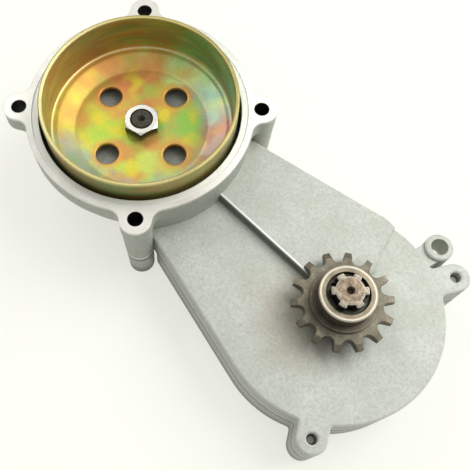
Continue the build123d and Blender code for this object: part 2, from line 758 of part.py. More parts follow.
# Output gear with a recessed web, five holes and a keyway
with BuildPart() as output_gear:
    with BuildSketch(Plane.XY.offset(gear_low_z)):
        spur_gear_plan(output_teeth, output_phase, output_axis)
        with Locations(output_axis):
            Circle(output_d / 2 + slip, mode=Mode.SUBTRACT)
            with PolarLocations((web_inner_r + web_outer_r) / 2, web_hole_count):
                Circle(web_hole_d / 2, mode=Mode.SUBTRACT)
        with Locations((shaft_distance + output_d / 2 - keyway_depth + key_height / 2 + slip, 0)):
            Rectangle(key_height + 2 * slip, key_width + 2 * slip, mode=Mode.SUBTRACT)
    extrude(amount=gear_width)
    for low in (gear_low_z, gear_top_z - web_recess):
        with BuildSketch(Plane.XY.offset(low)):
            with Locations(output_axis):
                Circle(web_outer_r)
                Circle(web_inner_r, mode=Mode.SUBTRACT)
        extrude(amount=web_recess, mode=Mode.SUBTRACT)
finish(output_gear, "output_gear")


def circlip_plan(inner_r, outer_r, first_ear, second_ear, ear_r, ear_distance):
    """Open spring ring with an eye at each end, between the two eye angles."""
    Circle(outer_r)
    reach = outer_r * 2
    middle = (first_ear + second_ear) / 2
    Polygon((0, 0), at(reach, first_ear), at(reach, middle), at(reach, second_ear), align=None,
            mode=Mode.SUBTRACT)
    with Locations(at(ear_distance, first_ear), at(ear_distance, second_ear)):
        Circle(ear_r)
    Circle(inner_r, mode=Mode.SUBTRACT)
    with Locations(at(ear_distance, first_ear), at(ear_distance, second_ear)):
        Circle(ear_r * 0.45, mode=Mode.SUBTRACT)


with BuildPart() as gear_circlip:
    with BuildSketch(Plane(origin=(shaft_distance, 0, gear_low_z - 0.1 - circlip_thickness))):
        circlip_plan(output_d / 2 - 0.5 + slip, gear_circlip_r, 75.0, 105.0, circlip_ear_r,
                     gear_circlip_r - 0.6)
    extrude(amount=circlip_thickness)
finish(gear_circlip, "gear_circlip")

with BuildPart() as sprocket_circlip:
    with BuildSketch(Plane(origin=(shaft_distance, 0, circlip_z))):
        circlip_plan(circlip_groove_r + slip, spline_d / 2 + 0.9, circlip_first_ear, circlip_second_ear,
                     circlip_ear_r, circlip_ear_distance)
    extrude(amount=circlip_thickness)
finish(sprocket_circlip, "sprocket_circlip")

# Sprocket: toothed plate with bevelled tips, hub with a counterbore and a splined bore
with BuildPart() as sprocket:
    pitch_circle_r = chain_pitch / 2 / sin(pi / sprocket_teeth)
    seat_r = roller_d / 2 + 0.05
    tip_r = sprocket_tip_d / 2
    tip_half_gap = degrees(asin(tooth_gap_at_tip / 2 / tip_r))
    with BuildSketch(Plane(origin=(shaft_distance, 0, sprocket_top_z - sprocket_plate))):
        with BuildLine():
            pitch = 360 / sprocket_teeth
            for number in range(sprocket_teeth):
                gap = sprocket_tooth_angle + (number + 0.5) * pitch
                seat = at(pitch_circle_r, gap)
                seat_start = at(seat_r, gap + 180 + seat_half_angle, seat)
                seat_end = at(seat_r, gap + 180 - seat_half_angle, seat)
                ThreePointArc(seat_start, at(seat_r, gap + 180, seat), seat_end)
                tip_start = at(tip_r, gap + tip_half_gap)
                Line(seat_end, tip_start)
                tip_end = at(tip_r, gap + pitch - tip_half_gap)
                Line(tip_start, tip_end)
                next_seat = at(pitch_circle_r, gap + pitch)
                Line(tip_end, at(seat_r, gap + pitch + 180 + seat_half_angle, next_seat))
        make_face()
    extrude(amount=sprocket_plate)
    sprocket_mid_z = sprocket_top_z - sprocket_plate / 2
    with BuildSketch(Plane(origin=(shaft_distance, 0, sprocket_mid_z), x_dir=(1, 0, 0), z_dir=(0, -1, 0))):
        Polygon((0, -sprocket_plate / 2), (tooth_bevel_r, -sprocket_plate / 2),
                (tip_r + 0.5, -tooth_bevel_thickness / 2), (tip_r + 0.5, tooth_bevel_thickness / 2),
                (tooth_bevel_r, sprocket_plate / 2), (0, sprocket_plate / 2), align=None)
    revolve(axis=Axis((shaft_distance, 0, 0), (0, 0, 1)), mode=Mode.INTERSECT)
    boss([output_axis], sprocket_hub_d / 2, output_bearing_top_z, sprocket_hub_top_z)
    boss([output_axis], sprocket_step_d / 2, sprocket_top_z, sprocket_top_z + sprocket_step_height)
    hub_top = (sprocket_hub_top_z - 0.01, sprocket_hub_top_z + 0.01)
    top_edges = sprocket.edges().filter_by_position(Axis.Z, *hub_top)
    chamfer(top_edges, end_chamfer)
    bore([output_axis], sprocket_counterbore_d, circlip_z, sprocket_hub_top_z)
    with BuildSketch(Plane(origin=(shaft_distance, 0, output_bearing_top_z))):
        spline_plan(slip)
    extrude(amount=circlip_z - output_bearing_top_z, mode=Mode.SUBTRACT)
finish(sprocket, "sprocket")
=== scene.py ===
# Reduction gearbox with its clutch drum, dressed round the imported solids. The sections follow its
# assembly, and the table, the light and the camera come last. Places are in metres in the part's
# own frame: the middle of the cup's rim is the origin, and the output shaft stands along +X.

import math

import bpy
from mathutils import Matrix, Vector


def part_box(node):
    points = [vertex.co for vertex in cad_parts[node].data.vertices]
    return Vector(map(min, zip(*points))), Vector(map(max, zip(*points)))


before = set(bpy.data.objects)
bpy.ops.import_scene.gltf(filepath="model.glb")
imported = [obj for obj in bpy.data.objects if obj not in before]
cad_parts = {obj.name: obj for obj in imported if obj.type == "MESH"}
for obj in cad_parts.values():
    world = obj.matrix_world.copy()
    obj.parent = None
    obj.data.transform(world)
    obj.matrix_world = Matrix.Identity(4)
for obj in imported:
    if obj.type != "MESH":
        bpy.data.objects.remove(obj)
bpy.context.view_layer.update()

# Case: the housing with its open cup, and the back cover that closes the gear chamber. Both are
# aluminium, pressure die-cast and grit blasted. The cup's rim and the tops of its ears are turned
# bright, and screws from behind hold the cover against a paper gasket.
mm = 0.001
blast_grain = 1.1 * mm
blast_pore = 1.6 * mm
casting_cloud = 14.0 * mm
turning_feed = 0.32 * mm
rim_low_z = -1.1 * mm
cup_bore_r = 42.7 * mm
register_highlight = (44.8 * mm, 45.8 * mm)
bolt_half_pitch = 36.0 * mm
bolt_holes = [(x * bolt_half_pitch, y * bolt_half_pitch)
              for x, y in ((1, 1), (-1, 1), (-1, -1), (1, -1))]
bolt_hole_r = 3.28 * mm
step_run = (44.0 * mm, 112.0 * mm)
step_crest_y = (0.3 * mm, 1.4 * mm)
step_crest_z = (-14.2 * mm, -13.0 * mm)
step_foot_y = (-0.4 * mm, 0.9 * mm)
step_foot_z = -14.5 * mm
face_z = -16.5 * mm
joint_edge_z = (-29.7 * mm, -28.1 * mm)
joint_shade_z = (-31.7 * mm, -29.9 * mm)
foot_shade_z = -40.5 * mm
stain_and_shade_centre = (106.0 * mm, -14.0 * mm)
stain_and_shade_reach = 27.0 * mm
stain_and_shade_wander = 18.0 * mm


def linear(code):
    """A colour written as an sRGB hex code, as the linear RGBA that Blender's sockets take."""
    parts = [int(code[i:i + 2], 16) / 255 for i in (1, 3, 5)]
    return [p / 12.92 if p <= 0.04045 else ((p + 0.055) / 1.055) ** 2.4 for p in parts] + [1.0]


def add(tree, kind, inputs=None, stops=(), **settings):
    """Add a node with its settings, colour stops and inputs, and give it back.

    An input takes a value, a socket, or a node, which links from its first output in use. Numbers
    stand for inputs that share a name: 0, 6 and 7 are the factor and colours of a colour mix, and
    0, 2 and 3 those of a number mix. A map range has its value at 0 and its ranges at 1 to 4.
    """
    node = tree.nodes.new(kind)
    for name, value in settings.items():
        setattr(node, name, value)
    if stops:
        elements = node.color_ramp.elements
        while len(elements) < len(stops):
            elements.new(0.5)
        for element, (position, code) in zip(elements, stops):
            element.position = position
            element.color = linear(code)
    for key, value in (inputs or {}).items():
        if isinstance(value, bpy.types.Node):
            value = next(socket for socket in value.outputs if socket.enabled)
        if isinstance(value, bpy.types.NodeSocket):
            tree.links.new(value, node.inputs[key])
        else:
            node.inputs[key].default_value = value
    return node


def start_finish(name):
    """A new finish: its material, its empty node tree, and the place on the piece."""
    material = bpy.data.materials.new(name)
    material.use_nodes = True
    material.node_tree.nodes.clear()
    tree = material.node_tree
    return material, tree, add(tree, "ShaderNodeTexCoord").outputs["Object"]


# Blasted aluminium looks matt and pale grey, only a third metallic under its oxide, with a grain
# of tiny facets and a few darker pores. The real grain is about 0.2 mm and is drawn five times
# as coarse, or it would not show.
material, tree, place = start_finish("blasted die-cast aluminium, turned rim")
axes = add(tree, "ShaderNodeSeparateXYZ", {0: place}).outputs
grain = add(tree, "ShaderNodeTexNoise",
            {"Vector": place, "Scale": 1 / blast_grain, "Detail": 4.0, "Roughness": 0.65})
clouds = add(tree, "ShaderNodeTexNoise",
             {"Vector": place, "Scale": 1 / casting_cloud, "Detail": 3.0, "Roughness": 0.5})
pores = add(tree, "ShaderNodeTexNoise",
            {"Vector": place, "Scale": 1 / blast_pore, "Detail": 2.0, "Roughness": 0.5})
skin = add(tree, "ShaderNodeValToRGB", {"Fac": clouds}, stops=((0.3, "#c0c3b7"), (0.7, "#ced1c8")))


def zone(tree, value, low=None, high=None, *, edge):
    """1 where a height, distance or pattern lies between low and high, fading over this edge."""
    inside = None
    for limit, before, after in ((low, 0.0, 1.0), (high, 1.0, 0.0)):
        if limit is None:
            continue
        ends = {0: value, 1: limit - edge / 2, 2: limit + edge / 2, 3: before, 4: after}
        side = add(tree, "ShaderNodeMapRange", ends, interpolation_type="SMOOTHSTEP")
        if inside is None:
            inside = side
        else:
            inside = add(tree, "ShaderNodeMath", {0: inside, 1: side}, operation="MULTIPLY")
    return inside


def over(tree, finish, code, share, *zones):
    """A finish with a colour laid over it by this share, where all the zones meet."""
    for part in zones:
        share = add(tree, "ShaderNodeMath", {0: part, 1: share}, operation="MULTIPLY")
    return add(tree, "ShaderNodeMix", {0: share, 6: finish, 7: linear(code)}, data_type="RGBA")


skin = over(tree, skin, "#93968c", 0.3, zone(tree, pores, low=0.64, edge=0.1))
skin = over(tree, skin, "#a9aca1", 0.7, zone(tree, grain, high=0.5, edge=0.5))


def from_axis(tree, place, x=0.0, y=0.0):
    """Distance from the upright axis of a shaft or hole."""
    flat = add(tree, "ShaderNodeVectorMath", {0: place, 1: (1.0, 1.0, 0.0)}, operation="MULTIPLY")
    moved = add(tree, "ShaderNodeVectorMath", {0: flat, 1: (x, y, 0.0)}, operation="SUBTRACT")
    return add(tree, "ShaderNodeVectorMath", {0: moved}, operation="LENGTH")


# A little brown oil has crept from the sprocket over the face, in an uneven patch. The same patch
# is painted shade with the sprocket's reflected brown, set off towards its shadow side.
stain_and_shade_spread = add(tree, "ShaderNodeMath",
            {0: clouds, 1: stain_and_shade_wander, 2: from_axis(tree, place, *stain_and_shade_centre)},
            operation="MULTIPLY_ADD")
skin = over(tree, skin, "#b09a80", 0.3, zone(tree, stain_and_shade_spread, high=stain_and_shade_reach, edge=22.0 * mm),
            zone(tree, axes["Z"], high=face_z, edge=2.0 * mm))
# Painted shade darkens the corner below the raised step.
along_step = zone(tree, axes["X"], *step_run, edge=1.0 * mm)
skin = over(tree, skin, "#4d5048", 0.6, along_step,
            zone(tree, axes["Y"], *step_foot_y, edge=0.6 * mm),
            zone(tree, axes["Z"], high=step_foot_z, edge=1.5 * mm))
# Edges that face half upwards are painted pale, a painted highlight.
facing = add(tree, "ShaderNodeNewGeometry").outputs["True Normal"]
upwards = add(tree, "ShaderNodeSeparateXYZ", {0: facing}).outputs["Z"]
skin = over(tree, skin, "#eef0ea", 0.6, zone(tree, upwards, 0.5, 0.88, edge=0.08))
# Painted highlight: the housing's edge at the joint is painted pale.
skin = over(tree, skin, "#f6f6f0", 0.75, zone(tree, axes["Z"], *joint_edge_z, edge=0.5 * mm))
# Below the joint, painted shade darkens a narrow band of the cover.
skin = over(tree, skin, "#5c5f56", 0.65, zone(tree, axes["Z"], *joint_shade_z, edge=0.5 * mm))
# Painted shade darkens the cover towards its foot on the table.
skin = over(tree, skin, "#62655c", 0.5, zone(tree, axes["Z"], high=foot_shade_z, edge=6.0 * mm))
# Painted shade darkens the inside of the cup, below the drum.
cup_distance = from_axis(tree, place)
skin = over(tree, skin, "#4a4b43", 0.55, zone(tree, cup_distance, high=cup_bore_r, edge=0.2 * mm),
            zone(tree, axes["Z"], high=-1.2 * mm, edge=0.6 * mm))
# The turned rim is bright and smoother, with fine rings, and its register edge is a white painted
# highlight. The real feed of about 0.1 mm is drawn three times as coarse.
machined = zone(tree, axes["Z"], low=rim_low_z, edge=0.4 * mm)
bright = add(tree, "ShaderNodeValToRGB", {"Fac": clouds},
             stops=((0.35, "#e9e6da"), (0.65, "#f5f3ea")))
bright = over(tree, bright, "#ffffff", 1.0,
              zone(tree, cup_distance, *register_highlight, edge=0.5 * mm))
metal = add(tree, "ShaderNodeMix", {0: machined, 6: skin, 7: bright}, data_type="RGBA")
# The crest of the step is painted as bright, a painted highlight.
metal = over(tree, metal, "#f2f4ee", 1.0, along_step,
             zone(tree, axes["Y"], *step_crest_y, edge=0.4 * mm),
             zone(tree, axes["Z"], *step_crest_z, edge=0.5 * mm))


def round_holes(tree, place, centres, reach, edge):
    """1 within reach of any of these holes' axes, fading over this edge."""
    nearest = None
    for x, y in centres:
        near = zone(tree, from_axis(tree, place, x, y), high=reach, edge=edge)
        if nearest is None:
            nearest = near
        else:
            nearest = add(tree, "ShaderNodeMath", {0: nearest, 1: near}, operation="MAXIMUM")
    return nearest


# Painted shade makes the bolt holes nearly black.
metal = over(tree, metal, "#1d1d1b", 1.0,
             round_holes(tree, place, bolt_holes, bolt_hole_r, 0.1 * mm),
             zone(tree, axes["Z"], high=-0.3 * mm, edge=0.4 * mm))
ring_phase = add(tree, "ShaderNodeMath", {0: cup_distance, 1: 2 * math.pi / turning_feed},
                 operation="MULTIPLY")
rings = add(tree, "ShaderNodeMath", {0: ring_phase}, operation="SINE")
rings = add(tree, "ShaderNodeMath", {0: rings, 1: 0.5}, operation="MULTIPLY")
relief = add(tree, "ShaderNodeMix", {0: machined, 2: grain, 3: rings}, data_type="FLOAT")
gloss = add(tree, "ShaderNodeMix", {0: machined, 2: 0.58, 3: 0.36}, data_type="FLOAT")
rounded = add(tree, "ShaderNodeBevel", {"Radius": 0.5 * mm}, samples=4)
bump = add(tree, "ShaderNodeBump",
           {"Strength": 0.4, "Distance": 0.12 * mm, "Height": relief, "Normal": rounded})


def dress(material, surface, *names):
    """Give a finish its surface, and put it on solids."""
    shader = add(material.node_tree, "ShaderNodeBsdfPrincipled", surface)
    add(material.node_tree, "ShaderNodeOutputMaterial", {"Surface": shader})
    for name in names:
        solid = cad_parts[name]
        solid.data.materials.clear()
        solid.data.materials.append(material)


dress(material, {"Base Color": metal, "Metallic": 0.35, "Roughness": gloss, "Normal": bump},
      "main_housing", "back_cover")

# Bearings: four deep groove ball bearings in the case, two on each shaft. Rings and balls are
# hardened steel, ground and polished, and pressed into turned seats.
bearings = ("input_bearing", "input_tail_bearing", "output_bearing", "output_tail_bearing")
bearing_parts = [bearing + part for bearing in bearings
                 for part in ("_outer_ring", "_inner_ring", "_balls")]
material, tree, place = start_finish("polished bearing steel")
# Polished steel is smooth and mirror bright, with hardly any change of tone.
tone = add(tree, "ShaderNodeTexNoise",
           {"Vector": place, "Scale": 1 / (2.0 * mm), "Detail": 2.0, "Roughness": 0.5})
steel = add(tree, "ShaderNodeValToRGB", {"Fac": tone}, stops=((0.3, "#b4b5b7"), (0.7, "#c9cacb")))
dress(material, {"Base Color": steel, "Metallic": 1.0, "Roughness": 0.15}, *bearing_parts)

# Gears: the two idlers and the large output gear, milled from steel and hardened. They run in
# grease between the input shaft's pinion and the output shaft.
material, tree, place = start_finish("greased gear steel")
# Greased steel is dark grey and shiny, with smears some millimetres long.
smear = add(tree, "ShaderNodeTexNoise",
            {"Vector": place, "Scale": 1 / (4.0 * mm), "Detail": 4.0, "Roughness": 0.6})
steel = add(tree, "ShaderNodeValToRGB", {"Fac": smear}, stops=((0.3, "#6c6760"), (0.7, "#8f8a82")))
dress(material, {"Base Color": steel, "Metallic": 0.85, "Roughness": 0.33},
      "idler_gear_1", "idler_gear_2", "output_gear")

# Idler bushes: plain bearings of bronze powder, pressed, sintered and soaked with oil. They are
# pressed into the idler gears and turn on the fixed pins.
material, tree, place = start_finish("sintered bronze")
# Sintered bronze is brown gold and open grained, with pores of about 0.25 mm.
pores = add(tree, "ShaderNodeTexNoise",
            {"Vector": place, "Scale": 1 / (0.25 * mm), "Detail": 3.0, "Roughness": 0.7})
bronze = add(tree, "ShaderNodeValToRGB", {"Fac": pores},
             stops=((0.35, "#8b6533"), (0.65, "#b58a4a")))
dress(material, {"Base Color": bronze, "Metallic": 0.9, "Roughness": 0.4},
      "idler_bush_1", "idler_bush_2")

# Pins, washers, spacer, key and dowels: small steel pieces, hardened and ground to size, that
# carry the idlers, space the drum, drive the output gear and line up the cover.
material, tree, place = start_finish("ground steel")
# Ground steel is pale and clean. Its scratches are far finer than the 0.3 mm drawn here.
scratches = add(tree, "ShaderNodeTexNoise",
                {"Vector": place, "Scale": 1 / (0.3 * mm), "Detail": 2.0, "Roughness": 0.6})
steel = add(tree, "ShaderNodeValToRGB", {"Fac": scratches},
            stops=((0.3, "#a3a4a4"), (0.7, "#c2c3c3")))
dress(material, {"Base Color": steel, "Metallic": 0.95, "Roughness": 0.25},
      "idler_pin_1", "idler_pin_2", "idler_washers", "drum_spacer", "output_key", "dowel_pins")

# Gasket: fibre paper, pressed and cut to the shape of the joint. It lies between housing and
# cover, clamped by the cover screws and soaked with oil.
material, tree, place = start_finish("pressed gasket paper")
# Its edge is a thin dark line, matt and a little uneven, with fibres of about 0.8 mm.
fibres = add(tree, "ShaderNodeTexNoise",
             {"Vector": place, "Scale": 1 / (0.8 * mm), "Detail": 4.0, "Roughness": 0.7})
paper = add(tree, "ShaderNodeValToRGB", {"Fac": fibres},
            stops=((0.35, "#4b463e"), (0.65, "#6a6459")))
dress(material, {"Base Color": paper, "Roughness": 0.9}, "case_gasket")

# Cover screws: steel machine screws, blackened in an oxide bath, that go in from behind. The
# blunt tips of two of them show in the ears at the round end.
tip_z = -23.5 * mm
material, tree, place = start_finish("black oxide screw steel")
# Black oxide is dark and half shiny, and handling leaves the tips a little brighter.
height = add(tree, "ShaderNodeSeparateXYZ", {0: place}).outputs["Z"]
specks = add(tree, "ShaderNodeTexNoise",
             {"Vector": place, "Scale": 1 / (0.4 * mm), "Detail": 3.0, "Roughness": 0.6})
black = add(tree, "ShaderNodeValToRGB", {"Fac": specks},
            stops=((0.35, "#2b2a28"), (0.65, "#454340")))
black = over(tree, black, "#6b6a64", 1.0, zone(tree, height, low=tip_z, edge=1.0 * mm))
dress(material, {"Base Color": black, "Metallic": 0.7, "Roughness": 0.4}, "cover_screws")

# Input shaft and circlips: a turned steel shaft, cut with its own pinion, and the spring steel
# rings that hold the output gear and the sprocket. All are left unplated and oiled.
shaft_feed = 0.5 * mm
material, tree, place = start_finish("dark oiled steel")
# Oiled steel is nearly black, with turning rings. Their feed of 0.1 mm is drawn at 0.5 mm.
specks = add(tree, "ShaderNodeTexNoise",
             {"Vector": place, "Scale": 1 / (0.6 * mm), "Detail": 3.0, "Roughness": 0.6})
dark = add(tree, "ShaderNodeValToRGB", {"Fac": specks},
           stops=((0.35, "#2f2f26"), (0.65, "#4b4a3c")))
ring_phase = add(tree, "ShaderNodeMath", {0: from_axis(tree, place), 1: 2 * math.pi / shaft_feed},
                 operation="MULTIPLY")
rings = add(tree, "ShaderNodeMath", {0: ring_phase}, operation="SINE")
bump = add(tree, "ShaderNodeBump", {"Strength": 0.2, "Distance": 0.06 * mm, "Height": rings})
dress(material, {"Base Color": dark, "Metallic": 0.6, "Roughness": 0.42, "Normal": bump},
      "input_shaft", "gear_circlip", "sprocket_circlip")

# Clutch drum: a cup pressed from 1.6 mm steel sheet, with four holes punched in its dished floor,
# and yellow zinc passivated. Two flats on the input shaft drive it.
drum_holes = [(20.5 * mm, 0.0), (0.0, 20.5 * mm), (-20.5 * mm, 0.0), (0.0, -20.5 * mm)]
hole_halo = 7.0 * mm
middle_r = 26.5 * mm
floor_corner = (38.6 * mm, 39.1 * mm)
floor_z = -8.8 * mm
lip_z = 7.9 * mm
drip_centre = (6.5 * mm, -7.5 * mm)
drip_r = 4.0 * mm
film_wander = 20.0 * mm
middle_tones = ((0.0, "#db9450"), (0.1, "#c9cf48"), (0.25, "#c6d24c"), (0.4, "#ccd766"),
                (0.5, "#dcae58"), (0.62, "#9cc460"), (0.75, "#c6c048"), (0.88, "#d07a4a"),
                (1.0, "#db9450"))
outer_tones = ((0.0, "#d09848"), (0.1, "#c6b348"), (0.19, "#a8b898"), (0.31, "#98a99c"),
               (0.39, "#9bc68a"), (0.47, "#b3a67e"), (0.54, "#bc7c66"), (0.6, "#b27c74"),
               (0.66, "#a3c8ae"), (0.76, "#d8f2a2"), (0.86, "#e8b062"), (0.92, "#de9c56"),
               (1.0, "#d09848"))
wall_tones = ((0.0, "#bdb36c"), (0.14, "#bdb068"), (0.4, "#b3a058"), (0.56, "#abac66"),
              (0.66, "#b2d49e"), (0.76, "#9ecf94"), (0.83, "#b4c66c"), (0.9, "#c4b260"),
              (1.0, "#bdb36c"))
lip_tones = ((0.0, "#e6d795"), (0.125, "#ecdf9e"), (0.375, "#e3d38c"), (0.625, "#b3a668"),
             (0.875, "#dccb80"), (1.0, "#e6d795"))
material, tree, place = start_finish("yellow zinc passivated pressed steel")
# The film's thickness changes over 10 to 16 mm, and its colour with it: olive yellow, orange,
# green, and a pale blue grey or pink where it is thickest. The tones follow each other round
# the drum, each at its share of a full turn.
axes = add(tree, "ShaderNodeSeparateXYZ", {0: place}).outputs
drift = add(tree, "ShaderNodeTexNoise",
            {"Vector": place, "Scale": 1 / (16.0 * mm), "Detail": 2.0, "Roughness": 0.5})
patches = add(tree, "ShaderNodeTexNoise",
              {"Vector": place, "Scale": 1 / (7.0 * mm), "Detail": 3.0, "Roughness": 0.55})
specks = add(tree, "ShaderNodeTexNoise",
             {"Vector": place, "Scale": 1 / (0.7 * mm), "Detail": 3.0, "Roughness": 0.65})
angle = add(tree, "ShaderNodeMath", {0: axes["Y"], 1: axes["X"]}, operation="ARCTAN2")
turn = add(tree, "ShaderNodeMath", {0: angle, 1: 0.5 / math.pi, 2: 1.35}, operation="MULTIPLY_ADD")
turn = add(tree, "ShaderNodeMath", {0: drift, 1: 0.3, 2: turn}, operation="MULTIPLY_ADD")
turn = add(tree, "ShaderNodeMath", {0: turn}, operation="FRACT")
drum_distance = from_axis(tree, place)
uneven = add(tree, "ShaderNodeMath", {0: patches, 1: film_wander, 2: drum_distance},
             operation="MULTIPLY_ADD")
outer_ring = zone(tree, uneven, low=middle_r + film_wander / 2, edge=11.0 * mm)
middle = add(tree, "ShaderNodeValToRGB", {"Fac": turn}, stops=middle_tones)
outer = add(tree, "ShaderNodeValToRGB", {"Fac": turn}, stops=outer_tones)
film = add(tree, "ShaderNodeMix", {0: outer_ring, 6: middle, 7: outer}, data_type="RGBA")
# Green, orange and yellow spots lie over it, weaker in the outer ring, and pale ones only there.
calm = add(tree, "ShaderNodeMath", {0: outer_ring, 1: -0.5, 2: 1.0}, operation="MULTIPLY_ADD")
for shift, size, share, code in ((0.11, 13.0 * mm, 0.7, "#8aca50"),
                                 (0.23, 11.0 * mm, 0.7, "#dd7a4e"),
                                 (0.37, 10.0 * mm, 0.85, "#e4d23a")):
    moved = add(tree, "ShaderNodeVectorMath", {0: place, 1: (shift, shift, 0.0)}, operation="ADD")
    spots = add(tree, "ShaderNodeTexNoise",
                {"Vector": moved, "Scale": 1 / size, "Detail": 1.5, "Roughness": 0.4})
    film = over(tree, film, code, share, zone(tree, spots, low=0.6, edge=0.26), calm)
pale_shift = (0.53, 0.53, 0.0)
moved = add(tree, "ShaderNodeVectorMath", {0: place, 1: pale_shift}, operation="ADD")
spots = add(tree, "ShaderNodeTexNoise",
            {"Vector": moved, "Scale": 1 / (11.0 * mm), "Detail": 2.5, "Roughness": 0.5})
film = over(tree, film, "#b4bdb2", 0.45, zone(tree, spots, low=0.52, edge=0.2),
            zone(tree, drum_distance, low=27.5 * mm, edge=6.0 * mm),
            zone(tree, turn, 0.14, 0.72, edge=0.12))
# On the wall the dipped film dried in level bands, so its spots are drawn out round the drum.
wall = add(tree, "ShaderNodeValToRGB", {"Fac": turn}, stops=wall_tones)
drawn_out = (0.3, 0.3, 1.5)
streaked = add(tree, "ShaderNodeVectorMath", {0: place, 1: drawn_out}, operation="MULTIPLY")
for shift, low, share, code in ((0.2, 0.54, 0.45, "#b96a40"),
                                (0.4, 0.56, 0.6, "#66ab62"),
                                (0.6, 0.56, 0.5, "#969070")):
    moved = add(tree, "ShaderNodeVectorMath", {0: streaked, 1: (shift, 0.0, shift)},
                operation="ADD")
    streaks = add(tree, "ShaderNodeTexNoise",
                  {"Vector": moved, "Scale": 1 / (8.0 * mm), "Detail": 2.0, "Roughness": 0.5})
    wall = over(tree, wall, code, share, zone(tree, streaks, low=low, edge=0.2))
film = add(tree, "ShaderNodeMix",
           {0: zone(tree, axes["Z"], low=floor_z, edge=1.2 * mm), 6: film, 7: wall},
           data_type="RGBA")
# The pressed corner has a painted highlight, a thin pale line, the holes have orange halos, and a
# brown drip from the nut has dried beside it. The lip is worn pale.
film = over(tree, film, "#fbf0ba", 0.7, zone(tree, drum_distance, *floor_corner, edge=0.4 * mm),
            zone(tree, axes["Z"], high=-8.5 * mm, edge=0.8 * mm))
film = over(tree, film, "#e09a4c", 0.6,
            round_holes(tree, place, drum_holes, hole_halo, 3.6 * mm))
film = over(tree, film, "#b56f3c", 0.45,
            zone(tree, from_axis(tree, place, *drip_centre), high=drip_r, edge=3.5 * mm))
# Round the lip, painted light and shade make it darkest towards +X and +Y and lightest opposite.
lip = add(tree, "ShaderNodeValToRGB", {"Fac": turn}, stops=lip_tones)
film = add(tree, "ShaderNodeMix",
           {0: zone(tree, axes["Z"], low=lip_z, edge=0.5 * mm), 6: film, 7: lip}, data_type="RGBA")
# Zinc crystals are far finer than a picture shows, and are drawn as faint specks of 0.7 mm.
film = over(tree, film, "#7a7440", 0.18, zone(tree, specks, low=0.54, edge=0.2))
gloss = add(tree, "ShaderNodeMapRange", {0: patches, 1: 0.3, 2: 0.7, 3: 0.34, 4: 0.46})
rounded = add(tree, "ShaderNodeBevel", {"Radius": 1.6 * mm}, samples=8)
bump = add(tree, "ShaderNodeBump",
           {"Strength": 0.25, "Distance": 0.1 * mm, "Height": specks, "Normal": rounded})
dress(material, {"Base Color": film, "Metallic": 0.55, "Roughness": gloss, "Normal": bump},
      "clutch_drum")

# Drum nut: a thin steel hexagon nut, bright zinc plated, screwed on the input shaft's end to hold
# the drum.
nut_sides_z = (-13.4 * mm, -9.0 * mm)
material, tree, place = start_finish("bright zinc plated steel")
# Bright zinc is silvery and shiny. Painted shade darkens the six sides, most of all under the top
# edge, while the faces that look up keep the bright plate.
height = add(tree, "ShaderNodeSeparateXYZ", {0: place}).outputs["Z"]
facing = add(tree, "ShaderNodeNewGeometry").outputs["True Normal"]
upwards = add(tree, "ShaderNodeSeparateXYZ", {0: facing}).outputs["Z"]
specks = add(tree, "ShaderNodeTexNoise",
             {"Vector": place, "Scale": 1 / (0.5 * mm), "Detail": 3.0, "Roughness": 0.6})
plate = add(tree, "ShaderNodeValToRGB", {"Fac": specks},
            stops=((0.3, "#dedccf"), (0.7, "#fbf9ee")))
side_height = add(tree, "ShaderNodeMapRange", {0: height, 1: nut_sides_z[0], 2: nut_sides_z[1]})
sides = add(tree, "ShaderNodeValToRGB", {"Fac": side_height},
            stops=((0.0, "#a09d78"), (0.3, "#74745a"), (0.6, "#33342a"), (1.0, "#2b2c24")))
plate = add(tree, "ShaderNodeMix",
            {0: zone(tree, upwards, low=0.4, edge=0.1), 6: sides, 7: plate}, data_type="RGBA")
rounded = add(tree, "ShaderNodeBevel", {"Radius": 0.3 * mm}, samples=4)
bump = add(tree, "ShaderNodeBump",
           {"Strength": 0.15, "Distance": 0.05 * mm, "Height": specks, "Normal": rounded})
dress(material, {"Base Color": plate, "Metallic": 0.7, "Roughness": 0.26, "Normal": bump},
      "drum_nut")

# Output shaft: turned steel, unplated, with six splines cut on the end that carries the sprocket.
# It turns in two ball bearings, and a key and a circlip hold the output gear on it.
output_x = 114.0 * mm
groove_z = 4.2 * mm
centre_hole_r = 1.3 * mm
spline_end_z = (4.5 * mm, 5.05 * mm)
spline_root_r = 4.8 * mm
material, tree, place = start_finish("pitted splined steel")
# The steel is brown grey and pitted, with painted shade in the grooves and the centre hole, and a
# painted highlight on the ends of the splines. Its pits are drawn at 2.5 mm, coarser than they are.
height = add(tree, "ShaderNodeSeparateXYZ", {0: place}).outputs["Z"]
output_distance = from_axis(tree, place, output_x)
pits = add(tree, "ShaderNodeTexNoise",
           {"Vector": place, "Scale": 1 / (2.5 * mm), "Detail": 4.0, "Roughness": 0.65})
steel = add(tree, "ShaderNodeValToRGB", {"Fac": pits},
            stops=((0.3, "#54473a"), (0.5, "#7a6b58"), (0.72, "#b09f88")))
grooves_in_shade = add(tree, "ShaderNodeMath",
              {0: zone(tree, height, high=groove_z, edge=0.8 * mm),
               1: zone(tree, output_distance, high=centre_hole_r, edge=0.4 * mm)},
              operation="MAXIMUM")
steel = over(tree, steel, "#2a221a", 0.75, grooves_in_shade)
# Painted highlight on the ends of the splines.
steel = over(tree, steel, "#f0e9dc", 1.0, zone(tree, height, *spline_end_z, edge=0.2 * mm),
             zone(tree, output_distance, low=spline_root_r, edge=0.6 * mm))
rounded = add(tree, "ShaderNodeBevel", {"Radius": 0.25 * mm}, samples=4)
bump = add(tree, "ShaderNodeBump",
           {"Strength": 0.3, "Distance": 0.1 * mm, "Height": pits, "Normal": rounded})
dress(material, {"Base Color": steel, "Metallic": 0.7, "Roughness": 0.34, "Normal": bump},
      "output_shaft")

